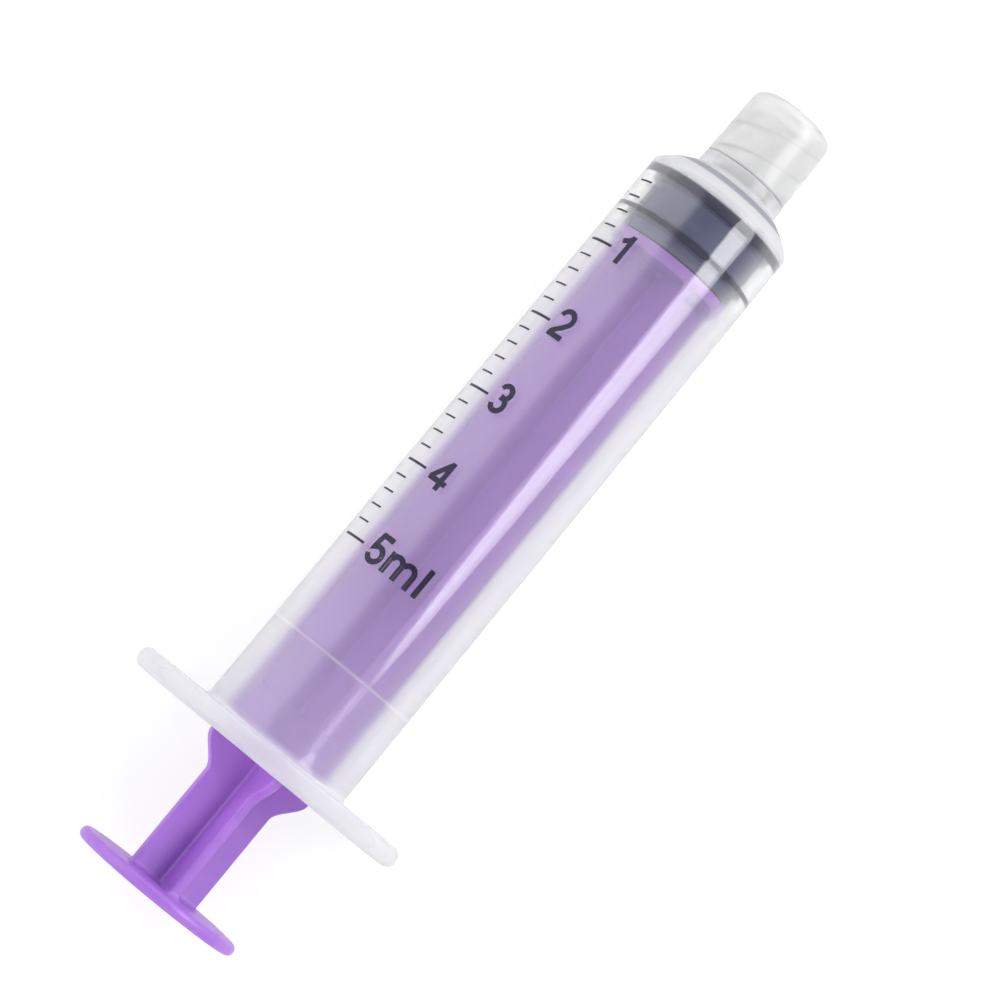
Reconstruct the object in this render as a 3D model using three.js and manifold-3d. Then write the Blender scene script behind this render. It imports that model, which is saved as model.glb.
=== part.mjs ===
// A 5 mL oral syringe with its plunger pushed home and a screw cap on its tip, in millimetres, +Z up.
// It lies along X with its tip towards +X, its finger wings along Y, on the flat edge of its flange.
// Each piece is turned about X in its own frame, and stations are distances along X in that frame.

import * as THREE from "three";
import { mergeVertices } from "three/addons/utils/BufferGeometryUtils.js";
import Module from "manifold-3d";

const wasm = await Module();
wasm.setup();

// Fits
const RUNNING_CLEARANCE = 0.03; // radial, seal rib in the bore
const SPIN_CLEARANCE = 0.08; // radial, rod head in the seal
const FACE_GAP = 0.1; // between two faces that meet
const SURFACE_GAP = 0.05; // thumb rest to the surface that the flange lies on
const RIB_CLEARANCE = 0.68; // radial, rod ribs in the bore
const DISC_CLEARANCE = 0.5; // radial, rod disc in the bore
const WAIST_CLEARANCE = 0.52; // radial, seal's waist in the bore
const THREAD_CLEARANCE = 0.06; // radial, crest to crest, so that the cap can be lifted straight off

// Barrel
const BORE_RADIUS = 6.25;
const WALL_AT_TIP = 0.87;
const WALL_AT_FLANGE = 1.09;
const BARREL_LENGTH = 61.5; // back of the flange to the start of the shoulder
const MOUTH_CHAMFER = 0.35;
const FLANGE_LENGTH = 28; // across the wings
const FLANGE_LIP = 0.96; // radial, the flats beyond the tube
const FLANGE_THICKNESS = 1.85;
const FLANGE_CORNER = 2.5;
const FLANGE_EDGE = 0.3;
const FLANGE_FILLET = 0.5;
const RIDGE_STATION = 10.7;
const RIDGE_HEIGHT = 0.3;
const RIDGE_HALF_WIDTH = 0.35;
const SHOULDER_ANGLE = THREE.MathUtils.degToRad(53.5); // from the axis
const SHOULDER_BOW_ALONG = 0.95; // how the shoulder's outside leans out of a straight cone
const SHOULDER_BOW_IN = 0.52;
const COLLAR_LENGTH = 1.25;
const COLLAR_PROUD = 0.03; // radial, beyond the cap's edge

// Nozzle and its thread
const NOZZLE_LENGTH = 5.4;
const NOZZLE_CORE_RADIUS = 2.9;
const THREAD_HEIGHT = 0.36;
const THREAD_LEAD = 5;
const THREAD_STARTS = 2;
const THREAD_WIDTH = 0.9;
const THREAD_TURNS = 0.8;
const THREAD_STEPS_A_TURN = 24;
const NOZZLE_CHAMFER = 0.3;
const LUMEN_RADIUS = 1.25;
const SOCKET_RADIUS = 1.95;
const SOCKET_DEPTH = 3.2;

// Tip cap
const CAP_LENGTH = 7.1;
const CAP_WALL = 0.6; // at the open edge
const CAP_DRAFT = 0.12; // radial, from the open edge to the top
const CAP_TOP_THICKNESS = 0.95;
const CAP_CORNER = 1.1;
const CAP_DOME = 0.12;
const PLUG_LENGTH = 2.6;
const PLUG_TAPER = 0.12;
const CAP_THREAD_HEIGHT = 0.18;

// Piston seal
const SEAL_TO_SHOULDER = 0.1; // front rib to the end of the bore, with the plunger home
const SEAL_LENGTH = 5.9;
const FRONT_RIB_WIDTH = 0.83;
const REAR_RIB_WIDTH = 0.48;
const REAR_RIB_SETBACK = 4.1; // front face of the front rib to that of the rear rib
const RIB_FLARE = 0.3;
const NOSE_HEIGHT = 0.55;
const NOSE_RADIUS = 4.6;
const SEAL_MOUTH_DEPTH = 1.2;

// Plunger rod
const THUMB_STANDOFF = 14.15; // back of the thumb rest to the back of the flange, with the plunger home
const HEAD_DISC_THICKNESS = 1.1;
const NECK_RADIUS = 2.5;
const HEAD_RADIUS = 3.9;
const HEAD_LENGTH = 1.9;
const HEAD_CHAMFER = 0.5;
const RIB_THICKNESS = 0.9;
const RIB_ROOT_FILLET = 0.35;
const WAIST_RADIUS = 3.6;
const WAIST_LENGTH = 9.9; // thumb rest to the flare
const FLARE_LENGTH = 3;
const THUMB_THICKNESS = 1.1;
const THUMB_EDGE = 0.4;
const ROD_TURN = THREE.MathUtils.degToRad(22);

// Colours and finish
const FINISHES = {
  barrel: { color: 0xe6ebef, roughness: 0.18 },
  plunger_rod: { color: 0x7a48ae, roughness: 0.38 },
  piston_seal: { color: 0x4c4e5c, roughness: 0.5 },
  tip_cap: { color: 0xeff0ef, roughness: 0.35 },
};

const TURNS = 48; // facets of a round body
const ARC_STEPS = 4;

// Values worked out from those above
const shoulderSlope = Math.tan(SHOULDER_ANGLE);
const threadCrestRadius = NOZZLE_CORE_RADIUS + THREAD_HEIGHT;
const capCrestRadius = threadCrestRadius + THREAD_CLEARANCE;
const capBoreRadius = capCrestRadius + CAP_THREAD_HEIGHT;
const capBaseRadius = capBoreRadius + CAP_WALL;
const capTopRadius = capBaseRadius - CAP_DRAFT;
const collarRadius = capBaseRadius + COLLAR_PROUD;
const tipRadius = BORE_RADIUS + WALL_AT_TIP;
const flangeRadius = BORE_RADIUS + WALL_AT_FLANGE;
const axisHeight = flangeRadius + FLANGE_LIP;
const collarStation = BARREL_LENGTH + (tipRadius - collarRadius) / shoulderSlope;
const nozzleStation = collarStation + COLLAR_LENGTH;
const nozzleEnd = nozzleStation + NOZZLE_LENGTH;
const boreEnd = BARREL_LENGTH - WALL_AT_TIP * Math.tan(SHOULDER_ANGLE / 2);
const lumenStation = boreEnd + (BORE_RADIUS - LUMEN_RADIUS) / shoulderSlope;
const threadLength = THREAD_TURNS * THREAD_LEAD + THREAD_WIDTH;
const threadInset = (NOZZLE_LENGTH - threadLength) / 2 + THREAD_WIDTH / 2;
const capStation = nozzleStation + FACE_GAP;
const sealStation = boreEnd - SEAL_TO_SHOULDER - SEAL_LENGTH;
const sealRibRadius = BORE_RADIUS - RUNNING_CLEARANCE;
const sealWaistRadius = BORE_RADIUS - WAIST_CLEARANCE;
const rodLength = THUMB_STANDOFF + sealStation - FACE_GAP;
const ribRadius = BORE_RADIUS - RIB_CLEARANCE;
const discRadius = BORE_RADIUS - DISC_CLEARANCE;
const thumbRadius = axisHeight - SURFACE_GAP;

// A three.js geometry as a manifold-3d solid.
function solidOf(geometry) {
  const bare = geometry.index ? geometry.toNonIndexed() : geometry.clone();
  bare.deleteAttribute("normal");
  bare.deleteAttribute("uv");
  const merged = mergeVertices(bare, 1e-4);
  return new wasm.Manifold(
    new wasm.Mesh({
      numProp: 3,
      vertProperties: merged.attributes.position.array,
      triVerts: new Uint32Array(merged.index.array),
    }),
  );
}

// A manifold-3d solid as a three.js geometry.
function geometryOf(solid) {
  const mesh = solid.getMesh();
  const geometry = new THREE.BufferGeometry();
  geometry.setAttribute("position", new THREE.BufferAttribute(mesh.vertProperties, 3));
  geometry.setIndex(new THREE.BufferAttribute(mesh.triVerts, 1));
  geometry.computeVertexNormals();
  return geometry;
}

// A round body along X, from its outline as [station, radius] pairs, listed from the back to the front.
function turned(outline) {
  const points = outline.map(([station, radius]) => new THREE.Vector2(radius, station));
  return new THREE.LatheGeometry(points, TURNS).rotateZ(-Math.PI / 2);
}

// The points of a quarter round from one corner point to another, bulging towards the given corner.
function rounded(from, corner, to) {
  const curve = new THREE.QuadraticBezierCurve(
    new THREE.Vector2(...from),
    new THREE.Vector2(...corner),
    new THREE.Vector2(...to),
  );
  return curve.getPoints(ARC_STEPS).map((point) => [point.x, point.y]);
}

// A flat outline in the YZ plane, thickened along X.
function slab(shape, thickness, bevel = 0) {
  const geometry = new THREE.ExtrudeGeometry(shape, {
    depth: thickness - 2 * bevel,
    bevelEnabled: bevel > 0,
    bevelThickness: bevel,
    bevelSize: bevel,
    bevelOffset: -bevel,
    bevelSegments: 2,
    curveSegments: 10,
  });
  geometry.translate(0, 0, bevel);
  const toAxes = new THREE.Matrix4().makeBasis(
    new THREE.Vector3(0, 1, 0),
    new THREE.Vector3(0, 0, 1),
    new THREE.Vector3(1, 0, 0),
  );
  return geometry.applyMatrix4(toAxes);
}

// A helix about X that three.js can sweep a section along.
class Helix extends THREE.Curve {
  constructor(radius, lead, turns, start, phase) {
    super();
    Object.assign(this, { radius, lead, turns, start, phase });
  }

  getPoint(t, target = new THREE.Vector3()) {
    const angle = this.phase + 2 * Math.PI * this.turns * t;
    const station = this.start + this.lead * this.turns * t;
    return target.set(station, this.radius * Math.cos(angle), this.radius * Math.sin(angle));
  }
}

// One thread ridge, a round-backed rib swept along a helix whose crest or root lies on the given radius.
function threadRidge(radius, height, start, phase) {
  const path = new Helix(radius, THREAD_LEAD, THREAD_TURNS, start, phase);
  const section = new THREE.Shape();
  section.absellipse(0, 0, height, THREAD_WIDTH / 2, 0, 2 * Math.PI);
  return new THREE.ExtrudeGeometry(section, {
    extrudePath: path,
    steps: Math.ceil(THREAD_TURNS * THREAD_STEPS_A_TURN),
    curveSegments: 4,
  });
}

// All starts of a thread as solids.
function threadSolids(radius, height, start) {
  return Array.from({ length: THREAD_STARTS }, (_, index) => {
    const phase = Math.PI / 2 + (2 * Math.PI * index) / THREAD_STARTS;
    return solidOf(threadRidge(radius, height, start, phase));
  });
}

// The plan of the finger flange: a disc as long as the wings, cut flat on two sides, its corners rounded.
function flangeShape() {
  const radius = FLANGE_LENGTH / 2;
  const centreZ = axisHeight - FLANGE_CORNER;
  const centreY = Math.sqrt((radius - FLANGE_CORNER) ** 2 - centreZ ** 2);
  const turn = Math.atan2(centreZ, centreY);
  const shape = new THREE.Shape();
  shape.absarc(centreY, centreZ, FLANGE_CORNER, turn, Math.PI / 2, false);
  shape.absarc(-centreY, centreZ, FLANGE_CORNER, Math.PI / 2, Math.PI - turn, false);
  shape.absarc(0, 0, radius, Math.PI - turn, Math.PI + turn, false);
  shape.absarc(-centreY, -centreZ, FLANGE_CORNER, Math.PI + turn, 1.5 * Math.PI, false);
  shape.absarc(centreY, -centreZ, FLANGE_CORNER, 1.5 * Math.PI, 2 * Math.PI - turn, false);
  shape.absarc(0, 0, radius, -turn, turn, false);
  return shape;
}

// The barrel's outside: tube, shoulder, collar and nozzle, as one turned body.
function barrelOutside() {
  return turned([
    [0, 0],
    [0, flangeRadius],
    [FLANGE_THICKNESS, flangeRadius + FLANGE_FILLET],
    [FLANGE_THICKNESS + FLANGE_FILLET, flangeRadius],
    ...rounded(
      [BARREL_LENGTH, tipRadius],
      [BARREL_LENGTH + SHOULDER_BOW_ALONG, tipRadius - SHOULDER_BOW_IN],
      [collarStation, collarRadius],
    ),
    [nozzleStation, collarRadius],
    [nozzleStation, NOZZLE_CORE_RADIUS],
    [nozzleEnd - NOZZLE_CHAMFER, NOZZLE_CORE_RADIUS],
    [nozzleEnd, NOZZLE_CORE_RADIUS - NOZZLE_CHAMFER],
    [nozzleEnd, 0],
  ]);
}

// The barrel's hollow: mouth, bore with its retention ridge, cone, lumen and the socket for the cap's plug.
function barrelHollow() {
  const past = 1; // how far the hollow runs past each open end
  return turned([
    [-past, 0],
    [-past, BORE_RADIUS + MOUTH_CHAMFER + past],
    [MOUTH_CHAMFER, BORE_RADIUS],
    [RIDGE_STATION - RIDGE_HALF_WIDTH, BORE_RADIUS],
    [RIDGE_STATION, BORE_RADIUS - RIDGE_HEIGHT],
    [RIDGE_STATION + RIDGE_HALF_WIDTH, BORE_RADIUS],
    [boreEnd, BORE_RADIUS],
    [lumenStation, LUMEN_RADIUS],
    [nozzleEnd - SOCKET_DEPTH, LUMEN_RADIUS],
    [nozzleEnd - SOCKET_DEPTH, SOCKET_RADIUS],
    [nozzleEnd + past, SOCKET_RADIUS],
    [nozzleEnd + past, 0],
  ]);
}

function barrelGeometry() {
  const flange = solidOf(slab(flangeShape(), FLANGE_THICKNESS, FLANGE_EDGE));
  let body = solidOf(barrelOutside()).add(flange);
  for (const ridge of threadSolids(NOZZLE_CORE_RADIUS, THREAD_HEIGHT, nozzleStation + threadInset))
    body = body.add(ridge);
  return geometryOf(body.subtract(solidOf(barrelHollow())));
}

function capGeometry() {
  const topStation = CAP_LENGTH - CAP_DOME;
  const innerTop = CAP_LENGTH - CAP_TOP_THICKNESS;
  const plugEnd = innerTop - PLUG_LENGTH;
  const plugRadius = SOCKET_RADIUS - FACE_GAP;
  const skin = turned([
    [0, capBoreRadius],
    [0, capBaseRadius],
    ...rounded(
      [topStation - CAP_CORNER, capTopRadius],
      [topStation, capTopRadius],
      [topStation, capTopRadius - CAP_CORNER],
    ),
    [CAP_LENGTH, 0],
    [plugEnd, 0],
    [plugEnd, plugRadius - PLUG_TAPER],
    [innerTop, plugRadius],
    [innerTop, capBoreRadius],
    [0, capBoreRadius],
  ]);
  let cap = solidOf(skin);
  for (const ridge of threadSolids(capBoreRadius, CAP_THREAD_HEIGHT, threadInset + THREAD_LEAD / 4))
    cap = cap.add(ridge);
  return geometryOf(cap);
}

function sealGeometry() {
  const frontRib = SEAL_LENGTH - FRONT_RIB_WIDTH;
  const rearRib = SEAL_LENGTH - REAR_RIB_SETBACK - REAR_RIB_WIDTH;
  const mouthRadius = NECK_RADIUS + SPIN_CLEARANCE;
  const pocketRadius = HEAD_RADIUS + SPIN_CLEARANCE;
  const pocketEnd = SEAL_MOUTH_DEPTH + HEAD_LENGTH;
  return turned([
    [0, mouthRadius],
    [0, sealWaistRadius],
    [rearRib - RIB_FLARE, sealWaistRadius],
    [rearRib, sealRibRadius],
    [rearRib + REAR_RIB_WIDTH, sealRibRadius],
    [rearRib + REAR_RIB_WIDTH + RIB_FLARE, sealWaistRadius],
    [frontRib - RIB_FLARE, sealWaistRadius],
    [frontRib, sealRibRadius],
    [SEAL_LENGTH, sealRibRadius],
    [SEAL_LENGTH + NOSE_HEIGHT, NOSE_RADIUS],
    [SEAL_LENGTH + NOSE_HEIGHT, 0],
    [pocketEnd, 0],
    [pocketEnd, pocketRadius],
    [SEAL_MOUTH_DEPTH, pocketRadius],
    [SEAL_MOUTH_DEPTH, mouthRadius],
    [0, mouthRadius],
  ]);
}

// The rod's cross section: four ribs with filleted roots.
function crossShape() {
  const half = RIB_THICKNESS / 2;
  const root = half + RIB_ROOT_FILLET;
  const shape = new THREE.Shape();
  for (let quarter = 0; quarter < 4; quarter += 1) {
    const turn = (quarter * Math.PI) / 2;
    const at = (x, y) => new THREE.Vector2(x, y).rotateAround(new THREE.Vector2(), turn).toArray();
    if (quarter === 0) shape.moveTo(...at(ribRadius, -half));
    else shape.lineTo(...at(ribRadius, -half));
    shape.lineTo(...at(ribRadius, half));
    shape.lineTo(...at(root, half));
    shape.quadraticCurveTo(...at(half, half), ...at(half, root));
  }
  shape.closePath();
  return shape;
}

// The round envelope that trims the ribs: narrow at the thumb rest, flaring to the full width.
function ribEnvelope(length) {
  const flareStart = THUMB_THICKNESS + WAIST_LENGTH;
  const flare = new THREE.CubicBezierCurve(
    new THREE.Vector2(flareStart, WAIST_RADIUS),
    new THREE.Vector2(flareStart + 0.55 * FLARE_LENGTH, WAIST_RADIUS),
    new THREE.Vector2(flareStart + 0.8 * FLARE_LENGTH, WAIST_RADIUS + 0.45 * (ribRadius - WAIST_RADIUS)),
    new THREE.Vector2(flareStart + FLARE_LENGTH, ribRadius),
  );
  return turned([
    [THUMB_THICKNESS / 2, 0],
    [THUMB_THICKNESS / 2, WAIST_RADIUS],
    ...flare.getPoints(2 * ARC_STEPS).map((point) => [point.x, point.y]),
    [length, ribRadius],
    [length, 0],
  ]);
}

function thumbRest() {
  const edge = THUMB_EDGE;
  return turned([
    [0, 0],
    ...rounded([0, thumbRadius - edge], [0, thumbRadius], [edge, thumbRadius]),
    ...rounded(
      [THUMB_THICKNESS - edge, thumbRadius],
      [THUMB_THICKNESS, thumbRadius],
      [THUMB_THICKNESS, thumbRadius - edge],
    ),
    [THUMB_THICKNESS, 0],
  ]);
}

// The rod's front end: the disc behind the seal, and the neck and head that the seal snaps over.
function rodHead() {
  const headStart = rodLength + FACE_GAP + SEAL_MOUTH_DEPTH + SPIN_CLEARANCE;
  const headEnd = headStart + HEAD_LENGTH - 2 * SPIN_CLEARANCE;
  return turned([
    [rodLength - HEAD_DISC_THICKNESS, 0],
    [rodLength - HEAD_DISC_THICKNESS, discRadius],
    [rodLength, discRadius],
    [rodLength, NECK_RADIUS],
    [headStart, NECK_RADIUS],
    [headStart, HEAD_RADIUS],
    [headEnd - HEAD_CHAMFER, HEAD_RADIUS],
    [headEnd, HEAD_RADIUS - HEAD_CHAMFER],
    [headEnd, 0],
  ]);
}

function rodGeometry() {
  const ribsEnd = rodLength - HEAD_DISC_THICKNESS / 2;
  const ribs = solidOf(slab(crossShape(), ribsEnd)).intersect(solidOf(ribEnvelope(ribsEnd)));
  return geometryOf(ribs.add(solidOf(thumbRest())).add(solidOf(rodHead())));
}

// A named mesh in its finish, placed by the station of its own frame's origin.
function piece(name, geometry, station, turn = 0) {
  const material = new THREE.MeshStandardMaterial({ metalness: 0, ...FINISHES[name] });
  const mesh = new THREE.Mesh(geometry, material);
  mesh.name = name;
  mesh.position.x = station;
  mesh.rotation.x = turn;
  return mesh;
}

// Stations in this group are distances from the back of the flange.
const syringe = new THREE.Group();
syringe.add(
  piece("barrel", barrelGeometry(), 0),
  piece("plunger_rod", rodGeometry(), -THUMB_STANDOFF, ROD_TURN),
  piece("piston_seal", sealGeometry(), sealStation),
  piece("tip_cap", capGeometry(), capStation),
);

// The part's origin is under the middle of its length, at the level of the flange's lower edge.
const syringeEnd = capStation + CAP_LENGTH;
syringe.position.set((THUMB_STANDOFF - syringeEnd) / 2, 0, axisHeight);

const part = new THREE.Group();
part.add(syringe);

export default part;
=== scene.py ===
"""The looks of a 5 mL oral syringe: clear barrel, purple plunger, seal, milky cap, printed scale.

Every piece is shaped in a millimetre frame, whose X runs along the syringe's axis from the back of
the finger flange towards the tip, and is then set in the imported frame.
"""

import logging
import math
from collections.abc import Sequence
from dataclasses import dataclass
from enum import Enum

import bmesh
import bpy
from bmesh.types import BMEdge, BMesh, BMFace, BMVert
from bpy.types import Material, Object
from mathutils import Matrix, Vector


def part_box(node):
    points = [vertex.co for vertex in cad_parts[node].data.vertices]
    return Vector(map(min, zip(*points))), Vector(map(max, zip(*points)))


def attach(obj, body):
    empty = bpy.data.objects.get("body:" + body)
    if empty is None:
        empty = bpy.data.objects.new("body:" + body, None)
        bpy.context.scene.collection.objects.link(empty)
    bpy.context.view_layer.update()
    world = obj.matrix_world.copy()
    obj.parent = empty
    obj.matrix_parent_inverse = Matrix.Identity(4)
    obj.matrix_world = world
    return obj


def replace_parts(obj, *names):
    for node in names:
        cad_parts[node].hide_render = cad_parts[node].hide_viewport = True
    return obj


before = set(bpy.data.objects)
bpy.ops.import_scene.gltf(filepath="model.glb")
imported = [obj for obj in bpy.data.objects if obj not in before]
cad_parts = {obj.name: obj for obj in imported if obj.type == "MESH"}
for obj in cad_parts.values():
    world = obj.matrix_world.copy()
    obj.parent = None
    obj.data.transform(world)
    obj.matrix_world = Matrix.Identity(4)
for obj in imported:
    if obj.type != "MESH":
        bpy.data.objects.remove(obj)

logging.basicConfig(level=logging.INFO, format="%(name)s: %(message)s")
LOG = logging.getLogger("syringe")

MM = 0.001
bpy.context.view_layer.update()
BARREL_LOW, BARREL_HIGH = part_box("barrel")
ROD_LOW, ROD_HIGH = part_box("plunger_rod")
SEAL_LOW, SEAL_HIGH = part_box("piston_seal")
CAP_LOW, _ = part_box("tip_cap")
FLANGE_BACK = BARREL_LOW.x
AXIS_HEIGHT = (BARREL_LOW.z + BARREL_HIGH.z) / 2
PLACE = Matrix.Translation((FLANGE_BACK, 0, AXIS_HEIGHT)) @ Matrix.Scale(MM, 4)

# Facets round the axis, along a fillet and along a bow, and the angle past which an edge is sharp.
ROUND_STEPS, FILLET_STEPS, BOW_STEPS = 192, 6, 14
CREASE = math.radians(38)
# In millimetres: what counts as touching, the gap from rod to seal, the zero mark behind its nose.
TOUCH, SEAL_GAP, ZERO_SETBACK = 0.005, 0.1, 0.95
# The refractive index of polypropylene, and the settings of a smooth ramp.
POLYPROPYLENE = 1.49
RAMP = {"interpolation_type": "SMOOTHSTEP", "clamp": True}


def station_of(x: float) -> float:
    """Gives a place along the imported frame's X as millimetres from the back of the flange."""
    return (x - FLANGE_BACK) / MM


def evenly(start: float, end: float, steps: int) -> list[float]:
    """Lists evenly spaced numbers from start to end, with both."""
    return [start + (end - start) * step / steps for step in range(steps + 1)]


# ---- outlines


@dataclass(frozen=True)
class Corner:
    """One corner of a half section, in millimetres: how far along, how far out, and how rounded."""

    station: float
    radius: float
    fillet: float = 0.0
    cuts: int = 0

    @property
    def point(self) -> Vector:
        """The corner as a flat vector."""
        return Vector((self.station, self.radius))


def rounded(before: Corner, corner: Corner, after: Corner) -> list[Vector]:
    """Rounds one corner off with a true arc.

    Args:
        before: The corner that the outline comes from.
        corner: The corner to round, with its fillet radius.
        after: The corner that the outline goes on to.

    Returns:
        The arc's points in order, or the sharp corner alone where it has no fillet.
    """
    if corner.fillet <= 0:
        return [corner.point]
    back = (before.point - corner.point).normalized()
    ahead = (after.point - corner.point).normalized()
    half = back.angle(ahead) / 2
    reach = corner.fillet / math.tan(half)
    centre = corner.point + (back + ahead).normalized() * (corner.fillet / math.sin(half))
    start = corner.point + back * reach - centre
    end = corner.point + ahead * reach - centre
    sweep = start.angle(end)
    return [
        centre + (start * math.sin(sweep * (1 - t)) + end * math.sin(sweep * t)) / math.sin(sweep)
        for t in evenly(0, 1, FILLET_STEPS)
    ]


def bow(start: Corner, pull: Corner, end: Corner) -> list[Corner]:
    """Draws a smooth bow of sharp corners from start to end, leaning towards pull."""
    return [
        Corner(*(start.point * (1 - t) ** 2 + pull.point * 2 * t * (1 - t) + end.point * t**2))
        for t in evenly(0, 1, BOW_STEPS)
    ]


def outline(corners: Sequence[Corner], closed: bool) -> list[Vector]:
    """Rounds the corners of a half section and cuts its long stretches.

    Args:
        corners: The half section's corners in order.
        closed: True where the last corner joins the first, False where both ends lie on the axis.

    Returns:
        All points of the half section in order.
    """
    points: list[Vector] = []
    count = len(corners)
    for index, corner in enumerate(corners):
        after = corners[(index + 1) % count]
        at_end = not closed and index in (0, count - 1)
        stretch = [corner.point] if at_end else rounded(corners[index - 1], corner, after)
        points += stretch
        points += [stretch[-1].lerp(after.point, t) for t in evenly(0, 1, corner.cuts + 1)[1:-1]]
    return points


# ---- meshes


def turn(mesh: BMesh, corners: Sequence[Corner], closed: bool = False) -> None:
    """Spins a half section round the axis into a closed skin.

    Args:
        mesh: The mesh that the skin is added to.
        corners: The half section's corners in order.
        closed: True where its last corner joins its first.
    """
    verts = [mesh.verts.new((point.x, 0, point.y)) for point in outline(corners, closed)]
    pairs = list(zip(verts, verts[1:]))
    if closed:
        pairs.append((verts[-1], verts[0]))
    edges = [mesh.edges.new(pair) for pair in pairs]
    bmesh.ops.spin(
        mesh,
        geom=[*verts, *edges],
        cent=(0, 0, 0),
        axis=(1, 0, 0),
        angle=2 * math.pi,
        steps=ROUND_STEPS,
        use_merge=True,
    )
    bmesh.ops.remove_doubles(mesh, verts=mesh.verts, dist=1e-5)


def draw_out(
    mesh: BMesh, faces: list[BMFace], keep: bool = False
) -> tuple[list[BMFace], list[BMVert]]:
    """Draws faces out of a skin.

    Args:
        mesh: The mesh that holds them.
        faces: The faces to draw out.
        keep: True where the old faces stay, as the far end of a new solid.

    Returns:
        The new faces and their points, which still lie where the old ones were.
    """
    grown = bmesh.ops.extrude_face_region(mesh, geom=faces, use_keep_orig=keep)["geom"]
    if not keep:
        bmesh.ops.delete(mesh, geom=[face for face in faces if face.is_valid], context="FACES")
    new_faces = [item for item in grown if isinstance(item, BMFace)]
    return new_faces, [item for item in grown if isinstance(item, BMVert)]


def polar(vert: BMVert) -> tuple[float, float]:
    """Gives a point's distance from the axis and its angle round it, in millimetres and radians."""
    return math.hypot(vert.co.y, vert.co.z), math.atan2(vert.co.z, vert.co.y)


def set_radius(vert: BMVert, radius: float) -> None:
    """Moves a point straight out from the axis, or in, to the given radius."""
    _, angle = polar(vert)
    vert.co.y = radius * math.cos(angle)
    vert.co.z = radius * math.sin(angle)


def rounded_edges(mesh: BMesh, edges: list[BMEdge], width: float, segments: int) -> None:
    """Rounds edges off, this wide in millimetres and with this many facets."""
    bmesh.ops.bevel(
        mesh,
        geom=edges,
        offset=width,
        offset_type="OFFSET",
        affect="EDGES",
        segments=segments,
        profile=0.5,
        material=-1,
        clamp_overlap=True,
    )


@dataclass(frozen=True)
class Thread:
    """A right-handed screw thread of several starts, raised on a round wall, in millimetres."""

    crest_station: float
    low: float
    high: float
    lead: float = 5.0
    starts: int = 2
    width: float = 1.0
    run_out: float = 0.5

    @property
    def pitch(self) -> float:
        """How far apart neighbouring ridges stand."""
        return self.lead / self.starts

    def height(self, station: float, angle: float) -> float:
        """Gives how far the thread stands, from 0 between ridges to 1 on a crest.

        Args:
            station: The place along the axis.
            angle: The place round the axis, in radians from the +Y side towards the top.

        Returns:
            The share of the thread's full height.
        """
        turns = (angle - math.pi / 2) / (2 * math.pi)
        along = station - self.crest_station - self.lead * turns
        gap = abs((along / self.pitch + 0.5) % 1 - 0.5) * self.pitch
        ridge = smooth(1 - gap / (self.width / 2))
        fade_in = smooth((station - self.low) / self.run_out)
        return ridge * fade_in * smooth((self.high - station) / self.run_out)

    def raise_on(self, mesh: BMesh, wall: float, height: float) -> None:
        """Raises the thread on a round wall.

        Args:
            mesh: The mesh that holds the wall.
            wall: The wall's radius.
            height: How far the thread stands out from the wall, or in where it is below zero.
        """
        for vert in mesh.verts:
            radius, angle = polar(vert)
            if abs(radius - wall) < TOUCH:
                set_radius(vert, radius + height * self.height(vert.co.x, angle))


def smooth(value: float) -> float:
    """Eases a number between 0 and 1, and holds it at those ends."""
    held = min(max(value, 0.0), 1.0)
    return held * held * (3 - 2 * held)


def data_of(name: str, mesh: BMesh) -> bpy.types.Mesh:
    """Makes lasting mesh data of a mesh, which is used up."""
    data = bpy.data.meshes.new(name)
    mesh.to_mesh(data)
    mesh.free()
    return data


def show(name: str, data: bpy.types.ID) -> Object:
    """Puts data into the scene as an object at the origin."""
    made = bpy.data.objects.new(name, data)
    bpy.context.scene.collection.objects.link(made)
    return made


def settle(mesh: BMesh, name: str, body: str, material: Material) -> Object:
    """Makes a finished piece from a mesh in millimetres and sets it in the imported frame.

    Args:
        mesh: The piece's mesh, which is used up.
        name: The piece's name.
        body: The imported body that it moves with.
        material: The material it wears.

    Returns:
        The piece, at the origin, with its place in its mesh.
    """
    bmesh.ops.recalc_face_normals(mesh, faces=mesh.faces)
    bmesh.ops.transform(mesh, matrix=PLACE, verts=mesh.verts)
    data = data_of(name, mesh)
    data.shade_smooth()
    data.set_sharp_from_angle(angle=CREASE)
    data.materials.append(material)
    piece = show(name, data)
    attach(piece, body)
    LOG.info("%s rides on %s with %d faces", name, body, len(data.polygons))
    return piece


# ---- materials


class Op(Enum):
    """The sums that shader expressions use."""

    ADD = "ADD"
    SUBTRACT = "SUBTRACT"
    MULTIPLY = "MULTIPLY"
    ABSOLUTE = "ABSOLUTE"
    MAXIMUM = "MAXIMUM"
    FRACTION = "FRACT"
    ANGLE = "ARCTAN2"


Number = "Value | float"


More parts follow.
